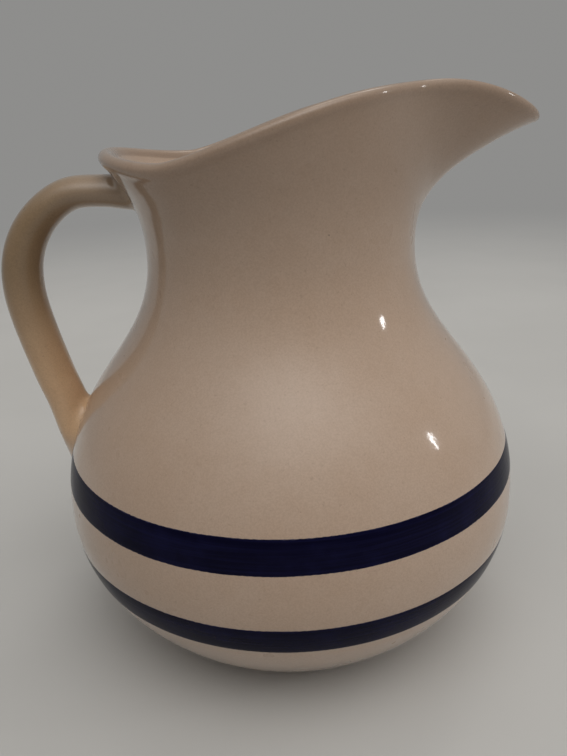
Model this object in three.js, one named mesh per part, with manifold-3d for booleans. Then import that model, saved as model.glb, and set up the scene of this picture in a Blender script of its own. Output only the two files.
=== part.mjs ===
// Stoneware pitcher: a thrown vessel with a pulled pouring lip, a strap handle luted on at two roots,
// and two bands of blue slip laid flush in the wall of the belly.
// Millimetres, +Z up. The origin is the middle of the flat foot, +X runs out along the spout.

import * as THREE from "three";
import { mergeVertices } from "three/addons/utils/BufferGeometryUtils.js";
import Module from "manifold-3d";

const wasm = await Module();
wasm.setup();

// Vessel wall, from the foot to the neck
const FOOT_RADIUS = 52;
const HEEL_BEVEL = 1.2;
const HEEL_RUN = 16; // how far the heel leans out and up before it turns towards the belly
const HEEL_RISE = 11;
const BELLY_RADIUS = 88;
const BELLY_HEIGHT = 57;
const BELLY_FULLNESS_BELOW = 25;
const BELLY_FULLNESS_ABOVE = 50;
const NECK_RADIUS = 49;
const NECK_HEIGHT = 152;
const NECK_LENGTH = 38; // the slow stretch of the shoulder as it comes up into the neck
const WALL = 6;
const FLOOR = 7;

// Collar, rim and pouring lip: radii from the vessel's axis and heights, all on the rim's outer edge
const RIM_BACK_RADIUS = 60.7;
const RIM_SIDE_RADIUS = 52.5;
const SPOUT_REACH = 90;
const SPOUT_SHARPNESS = 30; // the higher, the narrower the lip is seen from above
const RIM_BACK_HEIGHT = 183.8;
const RIM_DIP_HEIGHT = 180.4;
const RIM_CREST_HEIGHT = 201.5;
const SPOUT_TIP_HEIGHT = 190;
const RIM_DIP_X = -36.8;
const RIM_CREST_X = 51;
const RIM_CLIMB_SHAPE = 0.74; // under 1, the rim climbs early after the dip
const RIM_BEAD_BACK = 5.4; // thickness of the rounded rim, which slims down towards the spout's tip
const RIM_BEAD_TIP = 4;
const COLLAR_WALL_SHARE = 0.8; // thickness of the wall just under the rim, as a share of the rim's
const COLLAR_RISE_SHARE = 0.5; // share of the collar that goes straight up before it flares
const FLARE_SHARE = 0.55; // share of the overhang that the flare takes
const FLARE_DROP = 9;

// Blue bands, by the heights of their edges
const UPPER_BAND_TOP = 80.7;
const UPPER_BAND_BOTTOM = 69;
const LOWER_BAND_TOP = 49.2;
const LOWER_BAND_BOTTOM = 37.2;
const BAND_COAT = 0.6;

// Handle: heights and reach of its centre line, and its oval section
const UPPER_ROOT_DROP = 11.6; // how far the middle of the upper root sits under the rim
const LOWER_ROOT_HEIGHT = 80;
const HANDLE_REACH = 97.3;
const HANDLE_SHOULDER_DROP = 8.4; // how far the shoulder of the handle sits under its upper root
const HANDLE_WAIST_HEIGHT = 137; // where the handle reaches furthest out
const HANDLE_THICKNESS_TOP = 10.4;
const HANDLE_THICKNESS_BOTTOM = 14.8;
const HANDLE_WIDTH_TOP = 17.4;
const HANDLE_WIDTH_BOTTOM = 17;
const UPPER_ROOT_FLARE = 0.15; // share by which the section thickens at the upper root
const LOWER_ROOT_FLARE = 0.25; // share by which the section widens at the lower root
const ROOT_FLARE_LENGTH = 9;

// Luting slip between the handle's roots and the wall
const SLIP_COAT = 1;
const SLIP_SQUEEZE = 0.8; // how far the slip stands out round the root
const CLEARANCE = 0.3;

// Fineness of the facets
const SEGMENTS = 56;
const SPOUT_CROWDING = 0.35; // segments gather towards the spout
const LOWER_STEPS = 9;
const UPPER_STEPS = 12;
const COLLAR_STEPS = 8;
const BEAD_STEPS = 7;
const HANDLE_STEPS = 30;
const HANDLE_SIDES = 16;

const BANDS = [
  { name: "upper_band", low: UPPER_BAND_BOTTOM, high: UPPER_BAND_TOP },
  { name: "lower_band", low: LOWER_BAND_BOTTOM, high: LOWER_BAND_TOP },
];

const CREAM = { color: 0xd2c2ad, roughness: 0.28, metalness: 0 };
const BLUE = { color: 0x14173f, roughness: 0.25, metalness: 0 };
const CLAY = { color: 0xc9b08c, roughness: 0.6, metalness: 0 };

const vec2 = (x, y) => new THREE.Vector2(x, y);
const smooth = (share) => THREE.MathUtils.smoothstep(share, 0, 1);
const mix = THREE.MathUtils.lerp;

// Angles of the segments, 0 at the spout
const angles = Array.from({ length: SEGMENTS }, (_, i) => {
  const turn = (2 * Math.PI * i) / SEGMENTS;
  return turn - SPOUT_CROWDING * Math.sin(turn);
});

// Meridian of the round wall as (radius, height): foot to belly, then belly to neck
const lowerWall = new THREE.CubicBezierCurve(
  vec2(FOOT_RADIUS, HEEL_BEVEL),
  vec2(FOOT_RADIUS + HEEL_RUN, HEEL_RISE),
  vec2(BELLY_RADIUS, BELLY_HEIGHT - BELLY_FULLNESS_BELOW),
  vec2(BELLY_RADIUS, BELLY_HEIGHT),
);
const upperWall = new THREE.CubicBezierCurve(
  vec2(BELLY_RADIUS, BELLY_HEIGHT),
  vec2(BELLY_RADIUS, BELLY_HEIGHT + BELLY_FULLNESS_ABOVE),
  vec2(NECK_RADIUS, NECK_HEIGHT - NECK_LENGTH),
  vec2(NECK_RADIUS, NECK_HEIGHT),
);

// A point of a meridian curve, moved off the wall by `out` along the outward normal.
function offWall(curve, t, out) {
  const along = curve.getTangent(t);
  return curve.getPoint(t).add(vec2(along.y, -along.x).multiplyScalar(out));
}

// The share of a meridian curve at which it reaches a height.
function shareAtHeight(curve, height) {
  let [low, high] = [0, 1];
  for (let halving = 0; halving < 40; halving++) {
    const middle = (low + high) / 2;
    if (curve.getPoint(middle).y < height) low = middle;
    else high = middle;
  }
  return (low + high) / 2;
}

// The round wall's point at a height, moved off the wall by `out`.
function wallAt(height, out = 0) {
  const curve = height < BELLY_HEIGHT ? lowerWall : upperWall;
  return offWall(curve, shareAtHeight(curve, height), out);
}

// Rim seen from above: round at the back and sides, drawn out to the spout.
function rimRadius(angle) {
  const backness = (1 - Math.cos(angle)) / 2;
  const round = mix(RIM_SIDE_RADIUS, RIM_BACK_RADIUS, backness ** 2);
  return round + (SPOUT_REACH - RIM_SIDE_RADIUS) * (1 - backness) ** SPOUT_SHARPNESS;
}

// Rim seen from the side: a shallow dip by the handle, a long rise to the crest,
// and a fall to the spout's tip.
function rimHeight(x) {
  const pastDip = Math.max(0, (x - RIM_DIP_X) / (RIM_CREST_X - RIM_DIP_X));
  const rise = smooth(pastDip ** RIM_CLIMB_SHAPE);
  const toTip = Math.max(0, (x - RIM_CREST_X) / (SPOUT_REACH - RIM_CREST_X));
  const toBack = Math.max(0, (RIM_DIP_X - x) / (RIM_DIP_X + RIM_BACK_RADIUS));
  return (
    mix(RIM_DIP_HEIGHT, RIM_CREST_HEIGHT, rise) +
    (SPOUT_TIP_HEIGHT - RIM_CREST_HEIGHT) * toTip ** 2 +
    (RIM_BACK_HEIGHT - RIM_DIP_HEIGHT) * toBack ** 2
  );
}

// Thickness of the rim's bead at an angle.
const beadThickness = (angle) => mix(RIM_BEAD_BACK, RIM_BEAD_TIP, ((1 + Math.cos(angle)) / 2) ** 2);

// Meridian of the collar at an angle: straight up from the neck, then flaring to the rim's outer edge.
function collarCurve(angle) {
  const radius = rimRadius(angle);
  const height = rimHeight(radius * Math.cos(angle));
  const overhang = radius - NECK_RADIUS;
  return new THREE.CubicBezierCurve(
    vec2(NECK_RADIUS, NECK_HEIGHT),
    vec2(NECK_RADIUS, mix(NECK_HEIGHT, height, COLLAR_RISE_SHARE)),
    vec2(radius - FLARE_SHARE * overhang, height - FLARE_DROP),
    vec2(radius, height),
  );
}

const shares = (steps) => Array.from({ length: steps }, (_, i) => (i + 1) / steps);

// Heights of the rings between the bevelled heel and the neck, with none inside a band.
const ringHeights = [
  HEEL_BEVEL,
  ...shares(LOWER_STEPS).map((t) => lowerWall.getPoint(t).y),
  ...shares(UPPER_STEPS).map((t) => upperWall.getPoint(t).y),
];
const isClearOfBands = (height) =>
  BANDS.every((band) => height < band.low - BAND_COAT || height > band.high + BAND_COAT);
const plainHeights = ringHeights.filter(isClearOfBands);

// Meridian of the recess that takes a band.
function recess(band) {
  const depth = -(BAND_COAT + CLEARANCE);
  const middle = (band.low + band.high) / 2;
  return [
    wallAt(band.low),
    wallAt(band.low, depth),
    wallAt(middle, depth),
    wallAt(band.high, depth),
    wallAt(band.high),
  ];
}

// Outer face of the round wall, foot to neck, with the recesses for the bands.
const outerWall = [
  ...plainHeights.map((height) => ({ height, points: [wallAt(height)] })),
  ...BANDS.map((band) => ({ height: band.low, points: recess(band) })),
]
  .sort((a, b) => a.height - b.height)
  .flatMap((station) => station.points);

// Inner face of the round wall, neck to floor, with a soft corner at the floor.
const innerWall = ringHeights
  .map((height) => wallAt(height, -WALL))
  .filter((point) => point.y > FLOOR + HEEL_BEVEL)
  .reverse();
const floorEdge = innerWall[innerWall.length - 1];
innerWall.push(vec2(floorEdge.x - WALL / 2, FLOOR));

// Round bead that turns the rim from its outer face to its inner one,
// a little thicker than the wall under it.
function bead(collar, thickness) {
  const along = collar.getTangent(1);
  const outward = vec2(along.y, -along.x);
  const centre = offWall(collar, 1, (-thickness * COLLAR_WALL_SHARE) / 2);
  const undercut = Math.acos(COLLAR_WALL_SHARE);
  return Array.from({ length: BEAD_STEPS + 1 }, (_, i) => {
    const turn = mix(-undercut, Math.PI + undercut, i / BEAD_STEPS);
    return centre
      .clone()
      .addScaledVector(outward, (thickness / 2) * Math.cos(turn))
      .addScaledVector(along, (thickness / 2) * Math.sin(turn));
  });
}

// Whole meridian of the vessel at an angle: up the outside, over the rim and down the inside.
function vesselMeridian(angle) {
  const collar = collarCurve(angle);
  const rim = beadThickness(angle);
  const underBead = shares(COLLAR_STEPS).slice(0, -1);
  const up = underBead.map((t) => offWall(collar, t, 0));
  const down = underBead.map((t) => offWall(collar, t, -mix(WALL, rim * COLLAR_WALL_SHARE, t))).reverse();
  return [
    vec2(FOOT_RADIUS - HEEL_BEVEL, 0),
    ...outerWall,
    ...up,
    ...bead(collar, rim),
    ...down,
    ...innerWall,
  ];
}

// Meridian of a plain block with the vessel's outer form, moved off it by `out`.
// The handle's roots are cut to it.
function blockMeridian(angle, out) {
  const collar = collarCurve(angle);
  return [
    ...ringHeights.map((height) => wallAt(height, out)),
    ...shares(COLLAR_STEPS).map((t) => offWall(collar, t, out)),
  ];
}

// Rings of points round the axis, one for each station of the meridians.
function ringsRound(meridianAt) {
  const meridians = angles.map(meridianAt);
  return meridians[0].map((_, station) =>
    meridians.map((meridian, i) => {
      const { x: radius, y: height } = meridian[station];
      return new THREE.Vector3(radius * Math.cos(angles[i]), radius * Math.sin(angles[i]), height);
    }),
  );
}

// A closed skin over rings of points. It ends in a fan over each end ring,
// or joins the last ring to the first.
function skin(rings, { joined = false } = {}) {
  const count = rings[0].length;
  const points = rings.flat();
  const faces = [];
  const lastBand = joined ? rings.length : rings.length - 1;
  for (let ring = 0; ring < lastBand; ring++) {
    const here = ring * count;
    const next = ((ring + 1) % rings.length) * count;
    for (let i = 0; i < count; i++) {
      const j = (i + 1) % count;
      faces.push(here + i, here + j, next + j, here + i, next + j, next + i);
    }
  }
  const fan = (ring, isLast) => {
    const middle = ring.reduce((sum, p) => sum.add(p), new THREE.Vector3()).divideScalar(count);
    const centre = points.push(middle) - 1;
    const start = isLast ? (rings.length - 1) * count : 0;
    for (let i = 0; i < count; i++) {
      const j = (i + 1) % count;
      faces.push(centre, start + (isLast ? i : j), start + (isLast ? j : i));
    }
  };
  if (!joined) {
    fan(rings[0], false);
    fan(rings[rings.length - 1], true);
  }
  return new THREE.BufferGeometry().setFromPoints(points).setIndex(faces);
}

// Solids for cutting and joining, and back.
function solidOf(geometry) {
  const merged = mergeVertices(geometry);
  const triVerts = new Uint32Array(merged.index.array);
  const vertProperties = merged.getAttribute("position").array;
  return new wasm.Manifold(new wasm.Mesh({ numProp: 3, vertProperties, triVerts }));
}

function geometryOf(solid) {
  const { vertProperties, triVerts } = solid.getMesh();
  return new THREE.BufferGeometry()
    .setAttribute("position", new THREE.BufferAttribute(vertProperties, 3))
    .setIndex(new THREE.BufferAttribute(triVerts, 1));
}

const vesselBlock = (out) => solidOf(skin(ringsRound((angle) => blockMeridian(angle, out))));

// Outer face of the vessel at the back, in the handle's plane, at a height.
function backRadius(height) {
  if (height <= NECK_HEIGHT) return wallAt(height).x;
  const collar = collarCurve(Math.PI);
  return collar.getPoint(shareAtHeight(collar, height)).x;
}

// Centre line of the handle in the XZ plane. Both ends run on into the vessel, where the roots are cut.
function handleLine() {
  const upperHeight = RIM_BACK_HEIGHT - UPPER_ROOT_DROP;
  const upperRoot = backRadius(upperHeight);
  const lowerRoot = backRadius(LOWER_ROOT_HEIGHT);
  const span = HANDLE_REACH - upperRoot;
  const shoulderHeight = upperHeight - HANDLE_SHOULDER_DROP;
  const lowerSpan = HANDLE_REACH - lowerRoot;
  const lowerDrop = HANDLE_WAIST_HEIGHT - LOWER_ROOT_HEIGHT;
  return new THREE.CatmullRomCurve3(
    [
      [upperRoot - WALL, upperHeight - 1],
      [upperRoot + 0.22 * span, upperHeight + 1],
      [upperRoot + 0.52 * span, upperHeight],
      [upperRoot + 0.79 * span, shoulderHeight],
      [HANDLE_REACH - 2, mix(shoulderHeight, HANDLE_WAIST_HEIGHT, 0.45)],
      [HANDLE_REACH, HANDLE_WAIST_HEIGHT],
      [lowerRoot + 0.54 * lowerSpan, LOWER_ROOT_HEIGHT + 0.46 * lowerDrop],
      [lowerRoot + 0.28 * lowerSpan, LOWER_ROOT_HEIGHT + 0.26 * lowerDrop],
      [lowerRoot + 0.03 * lowerSpan, LOWER_ROOT_HEIGHT + 0.03 * lowerDrop],
      [lowerRoot - 0.4 * WALL, LOWER_ROOT_HEIGHT - 1.2 * WALL],
      [lowerRoot - 1.4 * WALL, LOWER_ROOT_HEIGHT - 2.8 * WALL],
    ].map(([reach, height]) => new THREE.Vector3(-reach, 0, height)),
    false,
    "centripetal",
  );
}

// The handle before its roots are cut: an oval swept along the line,
// thicker towards the bottom and flared at the roots.
function handleBlank(grow = 0) {
  const line = handleLine();
  const length = line.getLength();
  const rings = [];
  for (let step = 0; step <= HANDLE_STEPS; step++) {
    const share = step / HANDLE_STEPS;
    const middle = line.getPointAt(share);
    const along = line.getTangentAt(share);
    const across = new THREE.Vector3(along.z, 0, -along.x);
    const flareNear = (fromRoot) => Math.exp(-((Math.max(0, fromRoot) / ROOT_FLARE_LENGTH) ** 2));
    const thicken = 1 + UPPER_ROOT_FLARE * flareNear(share * length - WALL);
    const widen = 1 + LOWER_ROOT_FLARE * flareNear((1 - share) * length - 3 * WALL);
    const thickness = mix(HANDLE_THICKNESS_TOP, HANDLE_THICKNESS_BOTTOM, smooth(share * 2));
    const width = mix(HANDLE_WIDTH_TOP, HANDLE_WIDTH_BOTTOM, share);
    const thick = (thickness / 2) * thicken + grow;
    const wide = (width / 2) * widen + grow;
    rings.push(
      Array.from({ length: HANDLE_SIDES }, (_, i) => {
        const turn = (2 * Math.PI * i) / HANDLE_SIDES;
        const point = middle.clone().addScaledVector(across, thick * Math.cos(turn));
        point.y += wide * Math.sin(turn);
        return point;
      }),
    );
  }
  return solidOf(skin(rings));
}

function body() {
  return skin(ringsRound(vesselMeridian));
}

// A band fills its recess, flush with the wall, with the clearance all round it.
function band({ low, high }) {
  const [from, middle, to] = [low + CLEARANCE, (low + high) / 2, high - CLEARANCE];
  const outside = [from, middle, to].map((height) => wallAt(height));
  const inside = [to, middle, from].map((height) => wallAt(height, -BAND_COAT));
  return skin(
    ringsRound(() => [...outside, ...inside]),
    { joined: true },
  );
}

function handle() {
  return geometryOf(handleBlank().subtract(vesselBlock(SLIP_COAT + 2 * CLEARANCE)));
}

// The two coats of slip, upper first.
function slipCoats() {
  const coat = handleBlank(SLIP_SQUEEZE)
    .intersect(vesselBlock(SLIP_COAT + CLEARANCE))
    .subtract(vesselBlock(CLEARANCE));
  return coat
    .decompose()
    .sort((a, b) => b.boundingBox().max[2] - a.boundingBox().max[2])
    .map(geometryOf);
}

const pitcher = new THREE.Group();

function add(name, geometry, finish) {
  const mesh = new THREE.Mesh(geometry, new THREE.MeshStandardMaterial(finish));
  mesh.name = name;
  pitcher.add(mesh);
}

add("body", body(), CREAM);
add("handle", handle(), CREAM);
const [upperSlip, lowerSlip] = slipCoats();
add("upper_joint_slip", upperSlip, CLAY);
add("lower_joint_slip", lowerSlip, CLAY);
for (const stripe of BANDS) add(stripe.name, band(stripe), BLUE);

export default pitcher;
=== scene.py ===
import math
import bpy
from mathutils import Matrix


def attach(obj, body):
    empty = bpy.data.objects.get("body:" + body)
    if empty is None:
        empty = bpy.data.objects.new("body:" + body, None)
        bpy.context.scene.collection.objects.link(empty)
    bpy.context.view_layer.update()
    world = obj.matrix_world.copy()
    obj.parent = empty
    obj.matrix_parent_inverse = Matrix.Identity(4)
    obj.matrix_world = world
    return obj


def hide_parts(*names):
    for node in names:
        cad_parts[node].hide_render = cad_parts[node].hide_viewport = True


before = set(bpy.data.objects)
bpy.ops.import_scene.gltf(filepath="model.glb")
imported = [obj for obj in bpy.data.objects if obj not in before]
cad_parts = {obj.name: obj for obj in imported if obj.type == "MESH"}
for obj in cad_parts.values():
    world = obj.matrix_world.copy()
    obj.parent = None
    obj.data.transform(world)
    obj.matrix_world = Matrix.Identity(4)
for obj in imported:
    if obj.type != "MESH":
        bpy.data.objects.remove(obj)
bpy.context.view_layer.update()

from types import SimpleNamespace

import bpy
from bpy.props import FloatProperty, FloatVectorProperty, IntProperty, PointerProperty
from mathutils import Matrix, Vector

bl_info = {
    "name": "Stoneware Pitcher",
    "version": (1, 0, 0),
    "blender": (4, 5, 0),
    "location": "3D View > Sidebar > Pitcher",
    "description": "Throws the vessel, pulls its handle, brushes its blue bands and sets it in soft light",
    "category": "Object",
}


# Settings


def length(name, description, millimetres):
    return FloatProperty(
        name=name,
        description=description,
        default=millimetres / 1000,
        precision=5,
        subtype="DISTANCE",
        unit="LENGTH",
    )


def angle_of(name, description, degrees):
    return FloatProperty(
        name=name, description=description, default=math.radians(degrees), subtype="ANGLE", unit="ROTATION"
    )


def share(name, description, default):
    return FloatProperty(name=name, description=description, default=default, min=0, max=1, subtype="FACTOR")


def colour(name, description, default):
    return FloatVectorProperty(
        name=name, description=description, default=default, size=3, min=0, max=1, subtype="COLOR"
    )


def strength(name, description, default):
    return FloatProperty(name=name, description=description, default=default, min=0)


def count(name, description, default):
    return IntProperty(name=name, description=description, default=default, min=0)


class VesselSizes(bpy.types.PropertyGroup):
    """Sizes of the thrown vessel, from the foot up to the pulled rim."""

    foot_radius: length("Foot radius", "Outer radius of the flat foot", 52)
    foot_dish: length("Foot dish", "How far the middle of the foot is hollowed", 0.9)
    heel_bevel: length("Heel bevel", "Softened edge between foot and wall", 1.2)
    heel_run: length("Heel run", "How far the wall runs outwards as it leaves the foot", 16)
    heel_rise: length("Heel rise", "Height of the guide point of the wall above the table", 11)
    belly_radius: length("Belly radius", "Widest radius of the belly", 88)
    belly_height: length("Belly height", "Height of the widest part of the belly", 57)
    fullness_below: length("Fullness below", "Upright length of the wall under the widest part", 25)
    fullness_above: length("Fullness above", "Upright length of the wall over the widest part", 50)
    neck_radius: length("Neck radius", "Radius of the waist of the neck", 49)
    neck_height: length("Neck height", "Height of the waist of the neck", 152)
    neck_length: length("Neck length", "Length over which the wall stays upright under the waist", 38)
    wall: length("Wall", "Thickness of the wall", 6)
    floor: length("Floor", "Thickness of the floor", 7)
    rim_back_radius: length("Rim radius at the back", "Radius of the rim beside the handle", 60.7)
    rim_side_radius: length("Rim radius at the side", "Radius of the rim where the spout starts", 52.5)
    spout_reach: length("Spout reach", "Distance from the axis to the tip of the spout", 89.98)
    spout_sharpness: FloatProperty(
        name="Spout sharpness", description="Higher values pull a narrower spout", default=30, min=1
    )
    rim_back_height: length("Rim height at the back", "Height of the rim beside the handle", 183.8)
    rim_dip_height: length("Rim height in the dip", "Lowest height of the rim", 180.4)
    rim_crest_height: length("Rim height at the crest", "Highest height of the rim", 201.4)
    spout_tip_height: length("Spout tip height", "Height of the rim at the tip of the spout", 190)
    rim_dip_place: length("Place of the dip", "Place of the lowest rim along the spout's line", -36.8)
    rim_crest_place: length("Place of the crest", "Place of the highest rim along the spout's line", 51)
    rim_climb_shape: share("Climb shape", "Lower values make the rim climb earlier after the dip", 0.74)
    bead_back: length("Rim bead at the back", "Thickness of the rolled edge beside the handle", 5.4)
    bead_tip: length("Rim bead at the tip", "Thickness of the rolled edge at the tip of the spout", 4)
    collar_wall: share("Collar wall", "Thickness of the collar under the bead as a share of the bead", 0.8)
    collar_rise: share("Collar rise", "Height over which the collar stays upright as a share of its own", 0.5)
    flare: share("Flare", "How much of the collar's overhang is turned out near the rim", 0.55)
    flare_drop: length("Flare drop", "How far the flare's guide point lies under the rim", 9)
    spout_crowding: share("Spout crowding", "How much the mesh is crowded towards the spout", 0.35)
    rim_sponging: count("Rim sponging", "How often the corners beside the rolled edge are smoothed", 8)
    around: count("Divisions around", "Faces in one ring of the wall", 232)


class HandleSizes(bpy.types.PropertyGroup):
    """Sizes of the pulled strap handle."""

    upper_root_drop: length("Upper root drop", "Drop from the rim to the middle of the upper root", 11.6)
    lower_root_height: length("Lower root height", "Height where the handle meets the belly", 80)
    reach: length("Reach", "Distance from the axis to the middle of the strap at its farthest", 97.25)
    shoulder_drop: length("Shoulder drop", "Distance from the upper root down to the bend", 8.4)
    waist_height: length("Waist height", "Height where the handle reaches farthest", 137)
    thickness_top: length("Thickness at the top", "Thickness of the strap at its upper end", 10.4)
    thickness_bottom: length("Thickness at the bottom", "Thickness of the strap at its lower end", 14.8)
    width_top: length("Width at the top", "Width of the strap at its upper end", 17.4)
    width_bottom: length("Width at the bottom", "Width of the strap at its lower end", 17)
    upper_flare: share("Upper flare", "How much thicker the strap is at the upper root", 0.15)
    lower_flare: share("Lower flare", "How much wider the strap is at the lower root", 0.25)
    flare_length: length("Flare length", "Length over which each root widens", 9)
    upper_blend: length("Upper blend", "Radius of the clay smoothed into the corner of the upper root", 3)
    lower_blend: length("Lower blend", "Radius of the clay smoothed into the corner of the lower root", 5)
    bury: length("Bury", "How deep the roots go into the wall", 2.5)
    along: count("Divisions along", "Rings along the strap", 360)
    sides: count("Divisions around", "Faces in one ring of the strap", 56)


class BandSizes(bpy.types.PropertyGroup):
    """Sizes of the two brushed bands."""

    upper_top: length("Upper band's top", "Height of the upper band's upper edge", 80.7)
    upper_bottom: length("Upper band's bottom", "Height of the upper band's lower edge", 69)
    lower_top: length("Lower band's top", "Height of the lower band's upper edge", 49.2)
    lower_bottom: length("Lower band's bottom", "Height of the lower band's lower edge", 37.2)


class BrushSizes(bpy.types.PropertyGroup):
    """How the slip lies on the wall."""

    coat: length("Coat", "Height of the slip over the wall", 0.07)
    key: length("Key", "Depth of the slip in the wall", 0.5)
    wobble: length("Wobble", "How far the edges wander", 0.35)
    sag: length("Sag", "How far the lower edge sags on the side where the brush was lifted", 0.8)
    sag_angle: angle_of("Sag angle", "Where the lower edge sags", -125)
    around: count("Divisions around", "Faces in one ring of the band", 232)
    rows: count("Divisions across", "Rows of faces across the band", 22)


class SpeckSizes(bpy.types.PropertyGroup):
    """The sparse iron specks that melt through the glaze."""

    density: FloatProperty(name="Density", description="Specks in a square metre", default=420, min=0)
    smallest: length("Smallest speck", "Radius of the smallest speck", 0.1)
    largest: length("Largest speck", "Radius of the largest speck", 0.3)
    flatness: share("Flatness", "Height of a speck as a share of its radius", 0.25)
    seed: count("Seed", "Seed of the scatter", 11)


class FinishColours(bpy.types.PropertyGroup):
    """Colours of the clay, the glaze and the slip."""

    cream: colour("Cream glaze", "Glaze where it lies thick", (0.47, 0.35, 0.268))
    # Painted shade: the collar's cream is darkened to stand in for the shade under the rim.
    collar_cream_painted_shade: colour("Collar glaze", "Cream darkened as painted shade on the collar", (0.355, 0.262, 0.198))
    warm_tint: colour("Warm tint", "Tint of the glaze where the clay warms it", (0.926, 0.886, 0.84))
    # Handle colours: the top and the bend are darkened as painted shade, and the warmer lower end is lightened
    # as painted light.
    handle_top_painted_shade: colour("Handle's top", "Glaze at the upper end of the handle, darkened as painted shade", (0.36, 0.272, 0.196))
    bend_painted_shade: colour("Bend glaze with painted shade", "Glaze on the bend of the handle darkened as painted shade", (0.265, 0.182, 0.106))
    honey_and_painted_light: colour("Honey glaze", "Warmer glaze at the lower end of the handle, lightened as painted light", (0.62, 0.415, 0.25))
    bare_clay: colour("Bare clay", "Unglazed clay of the foot", (0.46, 0.35, 0.24))
    blue: colour("Blue slip", "Cobalt slip where it lies thick", (0.0018, 0.0015, 0.0125))
    blue_thin: colour("Thin blue slip", "Cobalt slip at the streaks of the brush", (0.005, 0.0052, 0.031))
    blue_edge: colour("Blue edge", "Cobalt slip where it bleeds into the glaze", (0.085, 0.085, 0.15))
    iron: colour("Iron", "Iron specks in the glaze", (0.10, 0.07, 0.045))


class StudioSettings(bpy.types.PropertyGroup):
    """The table, the soft dome of light and the camera."""

    table: colour("Table", "Colour of the table", (0.5, 0.494, 0.478))
    backdrop: colour("Backdrop", "Colour far behind the table", (0.27, 0.268, 0.262))
    dome_light: strength("Dome light", "Strength of all the soft lights of the dome", 1.0)
    wall_light: strength("Light from behind", "How strongly the backdrop lights the pitcher", 1.4)
    lamp_power: FloatProperty(
        name="Lamp power", description="Power of the small lamp", default=0.5, min=0, unit="POWER"
    )
    camera_place: FloatVectorProperty(
        name="Camera place",
        description="Where the camera stands",
        default=(0, -0.25307, 0.19560),
        size=3,
        precision=5,
        subtype="TRANSLATION",
        unit="LENGTH",
    )
    camera_yaw: angle_of("Yaw", "Turn of the camera about the upright", -0.24)
    camera_pitch: angle_of("Pitch", "How far the camera looks down", 21.06)
    camera_roll: angle_of("Roll", "Tilt of the camera", -2.51)
    lens: FloatProperty(name="Lens", description="Focal length in millimetres", default=32.38, min=1)


class PitcherSettings(bpy.types.PropertyGroup):
    """All the settings of the pitcher."""

    vessel: PointerProperty(type=VesselSizes)
    handle: PointerProperty(type=HandleSizes)
    bands: PointerProperty(type=BandSizes)
    brush: PointerProperty(type=BrushSizes)
    specks: PointerProperty(type=SpeckSizes)
    colours: PointerProperty(type=FinishColours)
    studio: PointerProperty(type=StudioSettings)


def settings_of(group):
    """Yields each setting of a property group with its key."""
    for key, setting in group.bl_rna.properties.items():
        if key not in ("rna_type", "name"):
            yield key, setting


# Node trees


class Field:
    """A value in a node tree. Arithmetic on it adds Math nodes to the tree."""

    def __init__(self, tree, socket):
        self.tree = tree
        self.socket = socket

    def math(self, operation, *terms, clamp=False):
        node = self.tree.nodes.new("ShaderNodeMath")
        node.operation = operation
        node.use_clamp = clamp
        for socket, term in zip(node.inputs, terms):
            plug(self.tree, term, socket)
        return Field(self.tree, node.outputs[0])

    def __add__(self, other):
        return self.math("ADD", self, other)

    def __radd__(self, other):
        return self.math("ADD", other, self)

    def __sub__(self, other):
        return self.math("SUBTRACT", self, other)

    def __rsub__(self, other):
        return self.math("SUBTRACT", other, self)

    def __mul__(self, other):
        return self.math("MULTIPLY", self, other)

    def __rmul__(self, other):
        return self.math("MULTIPLY", other, self)

    def __truediv__(self, other):
        return self.math("DIVIDE", self, other)

    def __pow__(self, other):
        return self.math("POWER", self, other)

    def __gt__(self, other):
        return self.math("GREATER_THAN", self, other)

    def sin(self):
        return self.math("SINE", self)

    def cos(self):
        return self.math("COSINE", self)

    def root(self):
        return self.math("SQRT", self)

    def exponential(self):
        return self.math("EXPONENT", self)

    def magnitude(self):
        return self.math("ABSOLUTE", self)

    def above(self, least):
        return self.math("MAXIMUM", self, least)

    def below(self, most):
        return self.math("MINIMUM", self, most)

    def clamped(self):
        return self.math("ADD", self, 0.0, clamp=True)

    def eased(self):
        """Smooth step from 0 to 1."""
        t = self.clamped()
        return t * t * (3 - 2 * t)


def plug(tree, value, socket):
    """Links a field or socket to a socket, or sets the socket's own value."""
    if isinstance(value, Field):
        value = value.socket
    if isinstance(value, bpy.types.NodeSocket):
        tree.links.new(value, socket)
    else:
        socket.default_value = value


def add(tree, kind, inputs=None, **settings):
    """Adds a node, makes its settings and plugs its inputs by name or place."""
    node = tree.nodes.new(kind)
    for name, value in settings.items():
        setattr(node, name, value)
    for key, value in (inputs or {}).items():
        plug(tree, value, node.inputs[key])
    return node


def field(tree, kind, inputs=None, outlet=0, **settings):
    return Field(tree, add(tree, kind, inputs, **settings).outputs[outlet])


def mix(low, high, part):
    return low + (high - low) * part


def combine(tree, x, y, z):
    return field(tree, "ShaderNodeCombineXYZ", {0: x, 1: y, 2: z})


def split(tree, vector):
    node = add(tree, "ShaderNodeSeparateXYZ", {0: vector})
    return [Field(tree, outlet) for outlet in node.outputs]


def vector(tree, operation, *terms, outlet="Vector"):
    node = tree.nodes.new("ShaderNodeVectorMath")
    node.operation = operation
    for socket, term in zip(node.inputs, terms):
        plug(tree, term, socket)
    return Field(tree, node.outputs[outlet])


def dot(tree, one, other):
    return vector(tree, "DOT_PRODUCT", one, other, outlet="Value")


def scaled(tree, arrow, amount):
    return field(tree, "ShaderNodeVectorMath", {"Vector": arrow, "Scale": amount}, operation="SCALE")


def named(tree, name, kind="FLOAT"):
    return field(tree, "GeometryNodeInputNamedAttribute", {"Name": name}, data_type=kind)


def store(tree, geometry, name, value, kind="FLOAT"):
    node = add(
        tree,
        "GeometryNodeStoreNamedAttribute",
        {"Geometry": geometry, "Name": name, "Value": value},
        data_type=kind,
        domain="POINT",
    )
    return node.outputs["Geometry"]


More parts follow.
